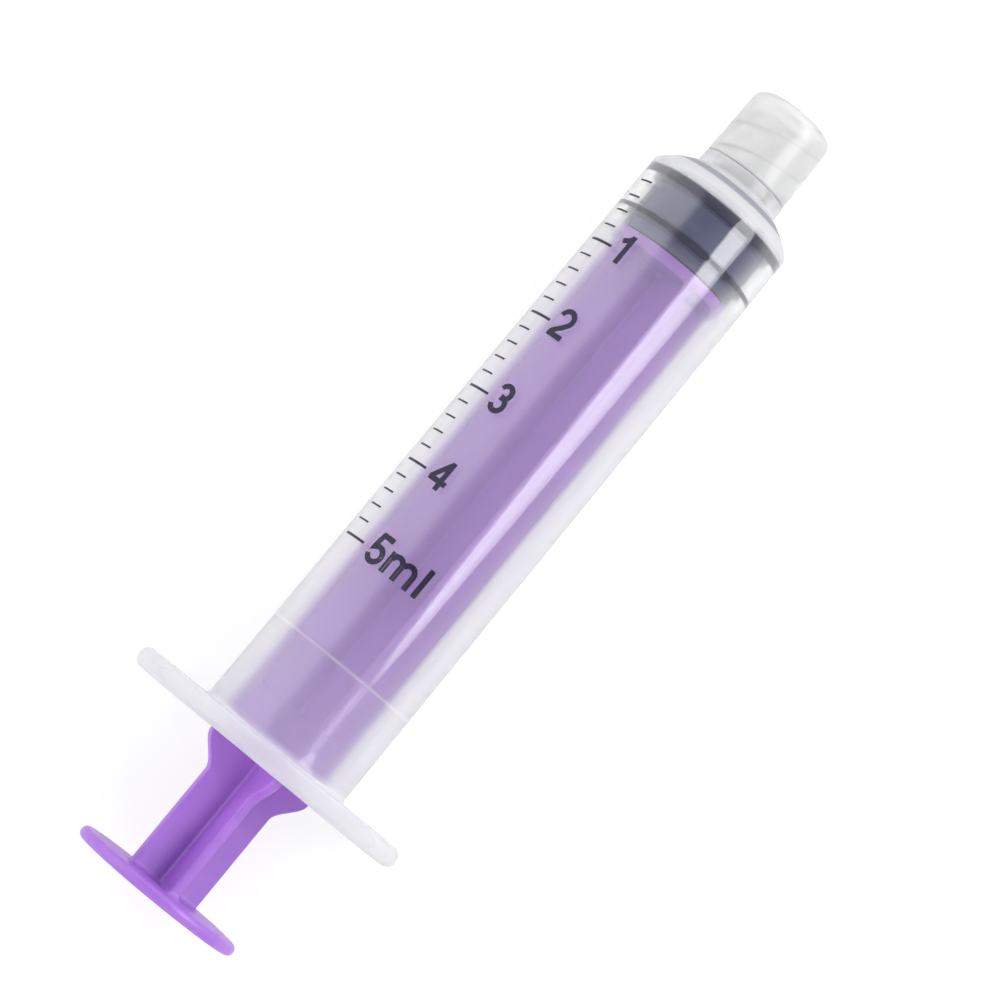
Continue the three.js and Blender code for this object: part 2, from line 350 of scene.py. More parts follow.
@dataclass(frozen=True)
class Value:
    """A number in a material's node tree, which takes part in Python expressions."""

    recipe: "Recipe"
    socket: bpy.types.NodeSocket

    def sum(self, op: Op, first: Number, second: Number = 0.0) -> "Value":
        """Adds a Math node for one sum, whose second term may be left out, and gives its result."""
        return self.recipe.node("ShaderNodeMath", {"operation": op.value}, {0: first, 1: second})

    def __add__(self, other: Number) -> "Value":
        """This value plus another."""
        return self.sum(Op.ADD, self, other)

    def __sub__(self, other: Number) -> "Value":
        """This value less another."""
        return self.sum(Op.SUBTRACT, self, other)

    def __rsub__(self, other: Number) -> "Value":
        """A number less this value."""
        return self.sum(Op.SUBTRACT, other, self)

    def __mul__(self, other: Number) -> "Value":
        """This value times another."""
        return self.sum(Op.MULTIPLY, self, other)

    __radd__ = __add__
    __rmul__ = __mul__

    def ramp(self, low: float, high: float, start: float = 0.0, end: float = 1.0) -> "Value":
        """Maps low to start and high to end, smoothly between them and level past them."""
        inputs = {"Value": self, "From Min": low, "From Max": high, "To Min": start, "To Max": end}
        return self.recipe.node("ShaderNodeMapRange", RAMP, inputs)

    def vary(self, low: float = 0.0, high: float = 1.0) -> "Value":
        """Spreads soft noise, which mostly lies between 0.3 and 0.7, over a range."""
        return self.ramp(0.3, 0.7, low, high)

    def band(self, middle: float, outer: float, inner: float) -> "Value":
        """Gives 1 within the inner distance of the middle, and 0 past the outer."""
        return (self - middle).absolute().ramp(outer, inner)

    def absolute(self) -> "Value":
        """This value without its sign."""
        return self.sum(Op.ABSOLUTE, self)

    def larger(self, other: Number) -> "Value":
        """The larger of this value and another."""
        return self.sum(Op.MAXIMUM, self, other)

    def fraction(self) -> "Value":
        """What this value stands over the whole number below it."""
        return self.sum(Op.FRACTION, self)

    def angle(self, across: Number) -> "Value":
        """The angle, in radians, of a point this far up and the other value across."""
        return self.sum(Op.ANGLE, self, across)


class Recipe:
    """A material, or the surrounding light, under construction, and the nodes that make it."""

    def __init__(self, made: Material | bpy.types.World) -> None:
        """Starts an empty node tree on a new material or world."""
        self.made = made
        made.use_nodes = True
        self.tree = made.node_tree
        self.tree.nodes.clear()

    def node(
        self,
        kind: str,
        settings: dict[str, object] | None = None,
        inputs: dict[str | int, object] | None = None,
        output: str | int = 0,
    ) -> Value:
        """Adds a node.

        Args:
            kind: The node's type.
            settings: Its own settings, which are set first.
            inputs: The values or links of its sockets.
            output: The output to go on from.

        Returns:
            That output.
        """
        made = self.tree.nodes.new(kind)
        for key, value in (settings or {}).items():
            setattr(made, key, value)
        for key, value in (inputs or {}).items():
            self.feed(made.inputs[key], value)
        return Value(self, made.outputs[output])

    def feed(self, socket: bpy.types.NodeSocket, value: object) -> None:
        """Links a value into a socket, or sets the socket to it."""
        if isinstance(value, Value):
            self.tree.links.new(value.socket, socket)
        else:
            socket.default_value = value

    def place(self) -> tuple[Value, Value, Value]:
        """Gives a point's station, and its Y and Z from the axis, in millimetres."""
        inputs = {
            "Vector": self.node("ShaderNodeTexCoord", output="Object"),
            "Location": (-FLANGE_BACK / MM, 0, -AXIS_HEIGHT / MM),
            "Scale": (1 / MM, 1 / MM, 1 / MM),
        }
        return self.split(self.node("ShaderNodeMapping", {"vector_type": "POINT"}, inputs))

    def split(self, vector: Value) -> tuple[Value, Value, Value]:
        """Takes a vector's three numbers apart."""
        parts = self.node("ShaderNodeSeparateXYZ", inputs={"Vector": vector})
        return tuple(Value(self, part) for part in parts.socket.node.outputs)

    def grain(self, scale: float, detail: float = 2.0, stretch: tuple = (1, 1, 1)) -> Value:
        """Gives soft noise about 0.5.

        Args:
            scale: How many blotches there are to a millimetre.
            detail: How many finer layers are added.
            stretch: How much more often the blotches come along each axis.

        Returns:
            The noise.
        """
        coords = self.node("ShaderNodeTexCoord", output="Object")
        sized = tuple(scale * share / MM for share in stretch)
        spread = self.node("ShaderNodeMapping", inputs={"Vector": coords, "Scale": sized})
        inputs = {"Vector": spread, "Scale": 1.0, "Detail": detail}
        return self.node("ShaderNodeTexNoise", inputs=inputs)

    def blend(self, share: Number, low: tuple, high: tuple) -> Value:
        """Mixes two colours, with this share of the second."""
        inputs = {"Factor": share, 6: (*low, 1), 7: (*high, 1)}
        return self.node("ShaderNodeMix", {"data_type": "RGBA"}, inputs, output=2)

    def bump(self, height: Value, depth: float) -> Value:
        """Turns a height from 0 to 1 into a bent normal, where 1 stands for this depth in mm."""
        return self.node("ShaderNodeBump", inputs={"Height": height, "Distance": depth * MM})

    def plastic(self, inputs: dict[str, object]) -> Value:
        """Adds a Principled shader, with polypropylene's index where none is given."""
        return self.node("ShaderNodeBsdfPrincipled", inputs={"IOR": POLYPROPYLENE, **inputs})

    def mixture(self, share: Value, first: Value, second: Value) -> Value:
        """Mixes two shaders, with this share of the second."""
        return self.node("ShaderNodeMixShader", inputs={0: share, 1: first, 2: second})

    def finish(self, surface: Value, kind: str = "Material") -> Material | bpy.types.World:
        """Ends with the given shader, and gives the finished material or world."""
        output = self.tree.nodes.new("ShaderNodeOutput" + kind)
        self.feed(output.inputs["Surface"], surface)
        return self.made


@dataclass(frozen=True)
class ClearMoulding:
    """Clear polypropylene: glassy where it is thin, hazier in the flange and the collar."""

    gloss: float = 0.045
    tint: tuple = (0.975, 0.982, 0.992)
    haze: tuple = (0.87, 0.87, 0.89)
    # The grey-blue that the neck's painted shade, and the flange's slightly dimmer haze, mix
    # towards.
    shade: tuple = (0.3, 0.3, 0.38)
    tip_haze: float = 0.02
    # Each stretch: the stations where it starts and where it is full, and the haze that it adds.
    stretches: tuple = (
        (56.3, 53.5, 0.16),  # the tube's middle
        (20.0, 2.0, 0.1),  # its foot
        (2.75, 1.55, 0.64),  # the flange
        (60.75, 61.45, 0.78),  # the shoulder
        (63.6, 64.0, -0.25),  # the collar
        (64.91, 65.11, -0.35),  # the nozzle
    )
    # Each band: the station of its middle, and how far from there it ends and is full.
    ridge: tuple = (10.7, 0.2, 0.06)
    ridge_haze: float = 0.12
    # The neck band is painted shade: a dark band on the haze that stands in for the dark seal's
    # image refracted in the shoulder.
    neck: tuple = (62.9, 0.45, 0.2)
    neck_shade: float = 0.8
    # Each ramp: from where to where it goes, and what it gives at both ends.
    flange_shade: tuple = (2.75, 1.55, 0.0, 0.12)
    facing: tuple = (0.2, 0.45)
    edge_haze: tuple = (55.5, 50.0, 0.3, 0.5)

    def material(self) -> Material:
        """Makes the material."""
        recipe = Recipe(bpy.data.materials.new("clear_moulding"))
        station, _, _ = recipe.place()
        cloud = recipe.grain(0.35)
        share = self.tip_haze + (cloud - 0.5) * 0.01
        for start, full, rise in self.stretches:
            share = share + station.ramp(start, full, 0.0, rise)
        facing = recipe.node("ShaderNodeLayerWeight", inputs={"Blend": 0.5}, output="Facing")
        share = share + facing.ramp(*self.facing) * station.ramp(*self.edge_haze)
        share = share + station.band(*self.ridge) * self.ridge_haze
        # Painted shade at the neck, plus a little dimming of the flange's haze, darken the haze's
        # colour.
        dark = station.band(*self.neck) * self.neck_shade + station.ramp(*self.flange_shade)
        clear = recipe.plastic({
            "Base Color": recipe.blend(cloud, self.tint, (1, 1, 1)),
            "Roughness": cloud.vary(self.gloss, self.gloss + 0.03),
            "Transmission Weight": 1.0,
            "Normal": recipe.bump(recipe.grain(0.5, stretch=(0.15, 1, 1)), 0.001),
        })
        hazy = recipe.plastic({
            "Base Color": recipe.blend(dark + cloud * 0.1, self.haze, self.shade),
            "Roughness": 0.7,
            "Transmission Weight": 0.6,
        })
        return recipe.finish(recipe.mixture(share, clear, hazy))


@dataclass(frozen=True)
class PurpleMoulding:
    """Purple polypropylene, satin, a little see-through in thin edges, and painted lighter inside
    the barrel.
    """

    deep: tuple = (0.265, 0.097, 0.485)
    pale: tuple = (0.385, 0.15, 0.63)
    # Where the painted light starts and where it is full: the rod is painted paler from behind the
    # flange inwards, standing in for the light that the hazy barrel sheds on it.
    pale_start: float = -8.0
    pale_full: float = 2.0
    gloss: float = 0.4

    def material(self) -> Material:
        """Makes the material."""
        recipe = Recipe(bpy.data.materials.new("purple_moulding"))
        station, _, _ = recipe.place()
        cloud = recipe.grain(0.25)
        # Painted light along the rod, plus a random paler tone from the grain.
        share = station.ramp(self.pale_start, self.pale_full, 0.0, 0.7) + cloud.vary() * 0.3
        streak = recipe.grain(1.2, stretch=(0.08, 1, 1))
        return recipe.finish(recipe.plastic({
            "Base Color": recipe.blend(share, self.deep, self.pale),
            "Roughness": streak.vary(self.gloss - 0.04, self.gloss + 0.08),
            "Specular IOR Level": 0.7,
            "Subsurface Weight": 0.3,
            "Subsurface Radius": (0.9, 0.5, 1.0),
            "Subsurface Scale": 0.8 * MM,
            "Normal": recipe.bump(recipe.grain(3.0), 0.0015),
        }))


@dataclass(frozen=True)
class SealRubber:
    """Dark blue-grey rubber with a soft sheen, its waist painted lighter than its ribs."""

    rib: tuple = (0.010, 0.010, 0.045)
    body: tuple = (0.08, 0.092, 0.185)
    # The squares of the radii where the rib's colour ends and where the body's is full.
    squares: tuple = (38.2, 35.0)

    def material(self) -> Material:
        """Makes the material."""
        recipe = Recipe(bpy.data.materials.new("seal_rubber"))
        cloud = recipe.grain(0.6)
        _, aside, up = recipe.place()
        # Painted reflection: the waist is painted lighter than the ribs, standing in for the light
        # that the barrel's inner wall reflects over the air gap; the ribs pressed on the wall lack
        # it.
        sunk = (aside * aside + up * up).ramp(*self.squares) * cloud.vary(0.8, 1.0)
        return recipe.finish(recipe.plastic({
            "Base Color": recipe.blend(sunk, self.rib, self.body),
            "Roughness": cloud.vary(0.42, 0.55),
            "IOR": 1.52,
            "Normal": recipe.bump(recipe.grain(7.0, 4.0), 0.006),
        }))


@dataclass(frozen=True)
class MilkyMoulding:
    """Milky polypropylene: bright, soft and a little see-through, with the inner thread's shade
    painted on as faint lines.
    """

    thread: Thread
    # The painted thread shade: the station of one of its lines, their width, and how they fade in
    # at the thread's ends.
    line_station: float = 66.6
    line_width: tuple = (0.07, 0.02)
    line_fade: float = 0.8
    haze: tuple = (0.92, 0.92, 0.918)
    # The colour of the painted thread shade.
    line: tuple = (0.55, 0.55, 0.56)
    clear_share: float = 0.72

    def material(self) -> Material:
        """Makes the material."""
        recipe = Recipe(bpy.data.materials.new("milky_moulding"))
        cloud = recipe.grain(0.4)
        station, aside, up = recipe.place()
        low = station.ramp(self.thread.low, self.thread.low + self.line_fade)
        high = station.ramp(self.thread.high, self.thread.high - self.line_fade)
        turns = (up.angle(aside) - math.pi / 2) * (1 / (2 * math.pi))
        along = (station - self.line_station - turns * self.thread.lead) * (1 / self.thread.pitch)
        # Painted shade: faint grey lines along the inner thread's helix, standing in for the
        # thread's shade seen through the milky wall.
        ridge = (along + 0.5).fraction().band(0.5, *self.line_width) * low * high
        glow = recipe.plastic({
            "Base Color": recipe.blend(ridge * 0.5 + cloud * 0.06, self.haze, self.line),
            "Roughness": cloud.vary(0.45, 0.55),
            "Subsurface Weight": 0.6,
            "Subsurface Radius": (1, 1, 1),
            "Subsurface Scale": 1.5 * MM,
        })
        window = recipe.plastic({
            "Base Color": (1, 1, 1, 1),
            "Roughness": 0.3,
            "Transmission Weight": 1.0,
        })
        share = self.clear_share + (cloud - 0.5) * 0.1
        return recipe.finish(recipe.mixture(share, glow, window))


@dataclass(frozen=True)
class PrintedInk:
    """Dark violet printing ink, slightly uneven."""

    dark: tuple = (0.012, 0.006, 0.028)
    thin: tuple = (0.03, 0.02, 0.055)

    def material(self) -> Material:
        """Makes the material."""
        recipe = Recipe(bpy.data.materials.new("printed_ink"))
        speckle = recipe.grain(6.0, 4.0)
        return recipe.finish(recipe.plastic({
            "Base Color": recipe.blend(speckle.ramp(0.5, 0.75), self.dark, self.thin),
            "Roughness": speckle.vary(0.35, 0.5),
            "IOR": 1.35,
        }))


@dataclass(frozen=True)
class PaleFloor:
    """The plain pale surface that the syringe lies on."""

    glow: float
    low: tuple = (0.27, 0.27, 0.27)
    high: tuple = (0.28, 0.28, 0.28)

    def material(self) -> Material:
        """Makes the material."""
        recipe = Recipe(bpy.data.materials.new("pale_floor"))
        return recipe.finish(recipe.plastic({
            "Base Color": recipe.blend(recipe.grain(0.004), self.low, self.high),
            "Roughness": 0.8,
            "IOR": 1.3,
            "Emission Color": (1, 1, 1, 1),
            "Emission Strength": self.glow,
        }))


# ---- sub-assemblies


@dataclass
class Barrel:
    """The clear moulding: tube, flange, shoulder, collar and threaded nozzle, in millimetres."""

    bore: float = 6.25
    wall_at_tip: float = 0.87
    wall_at_flange: float = 1.09
    length: float = 61.5
    mouth_chamfer: float = 0.35
    flange_length: float = 28.0
    flange_depth: float = 16.6
    flange_thickness: float = 1.85
    flange_corner: float = 2.5
    flange_edge: float = 0.85
    rim_steps: int = 8
    flange_fillet: float = 0.5
    ridge_station: float = 10.7
    ridge_height: float = 0.07
    ridge_half_width: float = 0.22
    collar: float = 4.13
    collar_station: float = 63.71
    collar_length: float = 1.25
    nozzle: float = 2.9
    nozzle_length: float = 5.4
    thread_height: float = 0.36
    lumen: float = 1.25
    socket: float = 1.95
    socket_depth: float = 3.2
    thread_crest: float = 65.66
    thread_margins: tuple = (0.15, 0.35)
    shoulder_pull: tuple = (0.95, 6.6)
    cone: float = math.radians(53.5)

    @property
    def at_tip(self) -> float:
        """The tube's outer radius where the shoulder begins."""
        return self.bore + self.wall_at_tip

    @property
    def at_flange(self) -> float:
        """The tube's outer radius at the flange."""
        return self.bore + self.wall_at_flange

    @property
    def nozzle_station(self) -> float:
        """Where the nozzle leaves the collar."""
        return self.collar_station + self.collar_length

    @property
    def bore_end(self) -> float:
        """Where the bore meets the cone inside the shoulder."""
        return self.length - self.wall_at_tip * math.tan(self.cone / 2)

    def outer_radius(self, station: float) -> float:
        """Gives the tube's outer radius at a station."""
        return self.at_flange + (self.at_tip - self.at_flange) * station / self.length

    def rim(self, angle: float) -> float:
        """Gives the flange's reach at an angle round the axis.

        Args:
            angle: Radians from the +Y wing towards the top.

        Returns:
            The distance from the axis to the flange's rim.
        """
        across, up = abs(math.cos(angle)), abs(math.sin(angle))
        reach, flat, corner = self.flange_length / 2, self.flange_depth / 2, self.flange_corner
        corner_up = flat - corner
        corner_across = math.sqrt((reach - corner) ** 2 - corner_up**2)
        if up > 0 and flat / up * across < corner_across:
            return flat / up
        if math.atan2(up, across) < math.atan2(corner_up, corner_across):
            return reach
        along = corner_across * across + corner_up * up
        return along + math.sqrt(along**2 - corner_across**2 - corner_up**2 + corner**2)

    def section(self) -> list[Corner]:
        """Draws the wall's half section, outside and inside."""
        foot = self.at_flange + self.flange_fillet
        end = self.nozzle_station + self.nozzle_length
        cone_length = (self.bore - self.lumen) / math.tan(self.cone)
        pull_along, pull_radius = self.shoulder_pull
        shoulder = bow(
            Corner(self.length - 0.05, self.at_tip),
            Corner(self.length + pull_along, pull_radius),
            Corner(self.collar_station - 0.05, self.collar + 0.05),
        )
        return [
            Corner(0, self.bore + self.mouth_chamfer, 0.1),
            Corner(0, foot),
            Corner(self.flange_thickness, foot),
            Corner(self.flange_thickness, self.at_flange, self.flange_fillet, cuts=30),
            *shoulder,
            Corner(self.collar_station + 0.15, self.collar),
            Corner(self.nozzle_station, self.collar, 0.12),
            Corner(self.nozzle_station, self.nozzle, 0.12, cuts=44),
            Corner(end, self.nozzle, 0.3),
            Corner(end, self.socket, 0.15),
            Corner(end - self.socket_depth, self.socket, 0.15),
            Corner(end - self.socket_depth, self.lumen, 0.1),
            Corner(self.bore_end + cone_length, self.lumen, 0.4),
            Corner(self.bore_end, self.bore, 0.4, cuts=24),
            Corner(self.ridge_station + self.ridge_half_width, self.bore, 0.2),
            Corner(self.ridge_station, self.bore - self.ridge_height, 0.15),
            Corner(self.ridge_station - self.ridge_half_width, self.bore, 0.2),
            Corner(self.mouth_chamfer, self.bore, 0.1),
        ]

    def spread_flange(self, mesh: BMesh) -> None:
        """Draws the flange out of the tube's foot, step by step, up to a full-round rim.

        Args:
            mesh: The mesh that holds the tube.
        """
        foot = self.at_flange + self.flange_fillet
        half = self.flange_thickness / 2
        wing = {
            vert
            for vert in mesh.verts
            if polar(vert)[0] > foot - TOUCH and abs(vert.co.x - half) < half + TOUCH
        }
        band = [face for face in mesh.faces if wing.issuperset(face.verts)]
        for step in range(self.rim_steps + 1):
            band, verts = draw_out(mesh, band)
            lean = math.pi / 2 * step / self.rim_steps
            for vert in verts:
                rim = self.rim(polar(vert)[1])
                edge = min(self.flange_edge, rim - foot - 0.02)
                set_radius(vert, rim - edge * (1 - math.sin(lean)))
                slim = half - edge * (1 - math.cos(lean))
                vert.co.x = half + math.copysign(slim, vert.co.x - half)

    def build(self) -> Object:
        """Builds and dresses the barrel."""
        mesh = bmesh.new()
        turn(mesh, self.section(), closed=True)
        self.spread_flange(mesh)
        back, front = self.thread_margins
        end = self.nozzle_station + self.nozzle_length
        thread = Thread(self.thread_crest, self.nozzle_station + back, end - front)
        thread.raise_on(mesh, self.nozzle, self.thread_height)
        finish = ClearMoulding().material()
        piece = settle(mesh, "barrel_moulding", "barrel", finish)
        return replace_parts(piece, "barrel")


def arc(x: float, y: float, radius: float, start: float, end: float) -> list[Vector]:
    """Draws part of a circle about x and y between two angles in degrees, the first one first."""
    angles = map(math.radians, evenly(start, end, math.ceil(abs(end - start) / 12)))
    return [Vector((x + radius * math.cos(a), y + radius * math.sin(a))) for a in angles]


def line(*points: tuple[float, float]) -> list[Vector]:
    """Draws straight strokes from point to point."""
    return [Vector(point) for point in points]


@dataclass(frozen=True)
class Glyph:
    """A plain numeral or letter drawn with a pen of one width, on a body one unit high."""

    width: float
    strokes: tuple[list[Vector], ...]


GLYPHS = {
    "1": Glyph(0.46, (
        line((0.385, 0), (0.385, 1)),
        line((0.385, 0.9), (0.24, 0.78), (0.08, 0.71)),
    )),
    "2": Glyph(0.66, (
        [*arc(0.33, 0.68, 0.25, 172, -28), *line((0.42, 0.40), (0.14, 0.16), (0.1, 0.02))],
        line((0.03, 0.07), (0.63, 0.07)),
    )),
    "3": Glyph(0.66, (
        [*arc(0.31, 0.71, 0.215, 165, -75), *line((0.24, 0.51))],
        [*line((0.24, 0.535)), *arc(0.32, 0.30, 0.235, 80, -165)],
    )),
    "4": Glyph(0.74, (
        line((0.52, 0), (0.52, 1)),
        line((0.52, 0.93), (0.07, 0.28)),
        line((0.02, 0.28), (0.74, 0.28)),
    )),
    "5": Glyph(0.66, (
        line((0.61, 0.93), (0.14, 0.93)),
        [*line((0.2, 0.97), (0.115, 0.47)), *arc(0.33, 0.315, 0.25, 125, -165)],
    )),
    "m": Glyph(1.16, (
        line((0.08, 0), (0.08, 0.73)),
        [*arc(0.32, 0.48, 0.2, 175, 0), *line((0.52, 0))],
        [*arc(0.78, 0.46, 0.22, 160, 0), *line((1.0, 0))],
    )),
    "l": Glyph(0.2, (line((0.08, 0), (0.08, 1)),)),
}


@dataclass
class PrintedScale:
    """The scale printed on the barrel, in millimetres, and in degrees round from the +Y wing."""

    barrel: Barrel
    zero_station: float
    volume: float = 5.0
    minor_step: float = 0.2
    minor_marks_each: int = 5
    stroke: float = 0.24
    fine_stroke: float = 0.17
    film: float = 0.012
    sunk: float = 0.004
    mark_start: float = 17.5
    minor_end: float = 34.3
    major_end: float = 44.7
    numeral_start: float = 46.8
    numeral_drift: float = 0.11
    numeral_height: float = 2.85
    numeral_width: float = 0.95
    numeral_stroke: float = 0.5
    numeral_gap: float = 0.33
    numeral_lift: float = 0.35
    pen_step: float = 0.2
    sharpest: float = 0.6

    @property
    def pitch(self) -> float:
        """How far apart the marks of 1 mL are: its volume over the bore's area."""
        return 1000 / (math.pi * self.barrel.bore**2)

    def station(self, volume: float) -> float:
        """Gives the station of a volume's mark."""
        return self.zero_station - volume * self.pitch

    def wrap(self, mesh: BMesh) -> None:
        """Wraps flat print round the barrel.

        Args:
            mesh: The print, with its arc length round the barrel in X, its station in Y, and the
                ink's thickness in Z.
        """
        for vert in mesh.verts:
            around, station, lift = vert.co
            radius = self.barrel.outer_radius(station)
            angle, reach = around / radius, radius - self.sunk + lift
            vert.co = (station, reach * math.cos(angle), reach * math.sin(angle))

    def around(self, degrees: float) -> float:
        """Gives an angle round the barrel as arc length at mid height."""
        return math.radians(degrees) * (self.barrel.at_tip + self.barrel.at_flange) / 2

    def marks(self, ink: Material) -> Object:
        """Prints the long and short lines.

        Args:
            ink: The ink's material.

        Returns:
            The lines as one piece.
        """
        mesh = bmesh.new()
        start = self.around(self.mark_start)
        for index in range(1, round(self.volume / self.minor_step) + 1):
            end, stroke = self.around(self.minor_end), self.fine_stroke
            if index % self.minor_marks_each == 0:
                end, stroke = self.around(self.major_end), self.stroke
            grid = bmesh.ops.create_grid(mesh, x_segments=16, y_segments=1, size=0.5)["verts"]
            size = Matrix.Diagonal((end - start, stroke, 1, 1))
            middle = ((start + end) / 2, self.station(index * self.minor_step), 0)
            bmesh.ops.transform(mesh, matrix=Matrix.Translation(middle) @ size, verts=grid)
        return self.dry(mesh, "scale_marks", ink)

    def dry(self, mesh: BMesh, name: str, ink: Material) -> Object:
        """Gives flat print the thickness of its ink, and wraps it round the barrel.

        Args:
            mesh: The flat print.
            name: The piece's name.
            ink: The ink's material.

        Returns:
            The print as one piece.
        """
        grown = bmesh.ops.extrude_face_region(mesh, geom=list(mesh.faces))["geom"]
        raised = [item for item in grown if isinstance(item, BMVert)]
        bmesh.ops.translate(mesh, vec=(0, 0, self.film), verts=raised)
        self.wrap(mesh)
        return settle(mesh, name, "barrel", ink)

    def pen(self, mesh: BMesh, path: Sequence[Vector]) -> None:
        """Draws one stroke of a numeral as a flat ribbon.

        Args:
            mesh: The mesh that the ribbon is added to.
            path: The stroke's points in order, in millimetres.
        """
        points = [path[0]]
        for start, end in zip(path, path[1:]):
            steps = math.ceil((end - start).length / self.pen_step)
            points += [start.lerp(end, t) for t in evenly(0, 1, steps)[1:]]
        count = len(points) - 1
        headings = [(end - start).normalized() for start, end in zip(points, points[1:])]
        for vert in bmesh.ops.create_grid(mesh, x_segments=count, y_segments=1, size=1)["verts"]:
            index = round((vert.co.x + 1) / 2 * count)
            before, after = headings[max(index - 1, 0)], headings[min(index, count - 1)]
            heading = (before + after).normalized()
            reach = vert.co.y * self.numeral_stroke / 2 / max(heading.dot(after), self.sharpest)
            spot = points[index] + Vector((-heading.y, heading.x)) * reach
            vert.co = (spot.x, spot.y, 0)

    def numeral(self, mesh: BMesh, text: str, volume: float) -> None:
        """Sets one numeral beside its mark.

        Args:
            mesh: The mesh that the numeral is added to.
            text: What it says.
            volume: The volume, in millilitres, whose mark it stands beside.
        """
        left = self.around(self.numeral_start) + volume * self.numeral_drift
        corner = Vector((left, self.station(volume) + self.numeral_lift - self.numeral_height / 2))
        body = Vector((self.numeral_width, 1)) * self.numeral_height
        for glyph in (GLYPHS[letter] for letter in text):
            for stroke in glyph.strokes:
                self.pen(mesh, [corner + point * body for point in stroke])
            corner.x += glyph.width * body.x + self.numeral_gap

    def numerals(self, ink: Material) -> Object:
        """Prints the numerals and the unit.

        Args:
            ink: The ink's material.

        Returns:
            The numerals as one piece.
        """
        mesh = bmesh.new()
        for number in range(1, round(self.volume) + 1):
            text = f"{number}ml" if number == round(self.volume) else str(number)
            self.numeral(mesh, text, number)
        return self.dry(mesh, "scale_numerals", ink)

    def build(self) -> list[Object]:
        """Prints the whole scale."""
        ink = PrintedInk().material()
        return [self.marks(ink), self.numerals(ink)]


@dataclass
class PistonSeal:
    """The rubber seal on the rod's head. Sizes in millimetres, stations from its back face."""

    back: float
    bore: float
    length: float = 5.9
    squeeze: float = 0.005
    waist: float = 5.73
    front_rib: float = 0.83
    rear_rib: float = 0.48
    rear_setback: float = 4.1
    flare: float = 0.28
    nose_height: float = 0.55
    nose: float = 4.6
    mouth: float = 2.58
    mouth_depth: float = 1.2
    pocket: float = 3.98
    pocket_length: float = 1.9

    def build(self) -> Object:
        """Builds and dresses the seal."""
        rib = self.bore + self.squeeze
        front = self.length - self.front_rib
        rear = self.length - self.rear_setback - self.rear_rib
        pocket_end = self.mouth_depth + self.pocket_length
        nose_end = self.length + self.nose_height
        corners = [
            Corner(pocket_end, 0),
            Corner(pocket_end, self.pocket, 0.2),
            Corner(self.mouth_depth, self.pocket, 0.2),
            Corner(self.mouth_depth, self.mouth, 0.15),
            Corner(0, self.mouth, 0.15),
            Corner(0, self.waist, 0.15),
            Corner(rear - self.flare, self.waist, 0.15),
            Corner(rear, rib, 0.08),
            Corner(rear + self.rear_rib, rib, 0.08),
            Corner(rear + self.rear_rib + self.flare, self.waist, 0.15),
            Corner(front - self.flare, self.waist, 0.15),
            Corner(front, rib, 0.08),
            Corner(self.length, rib, 0.12),
            Corner(nose_end, self.nose, 0.5),
            Corner(nose_end, 0),
        ]
        mesh = bmesh.new()
        turn(mesh, corners)
        bmesh.ops.translate(mesh, vec=(self.back, 0, 0), verts=mesh.verts)
        piece = settle(mesh, "rubber_seal", "seal", SealRubber().material())
        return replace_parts(piece, "piston_seal")


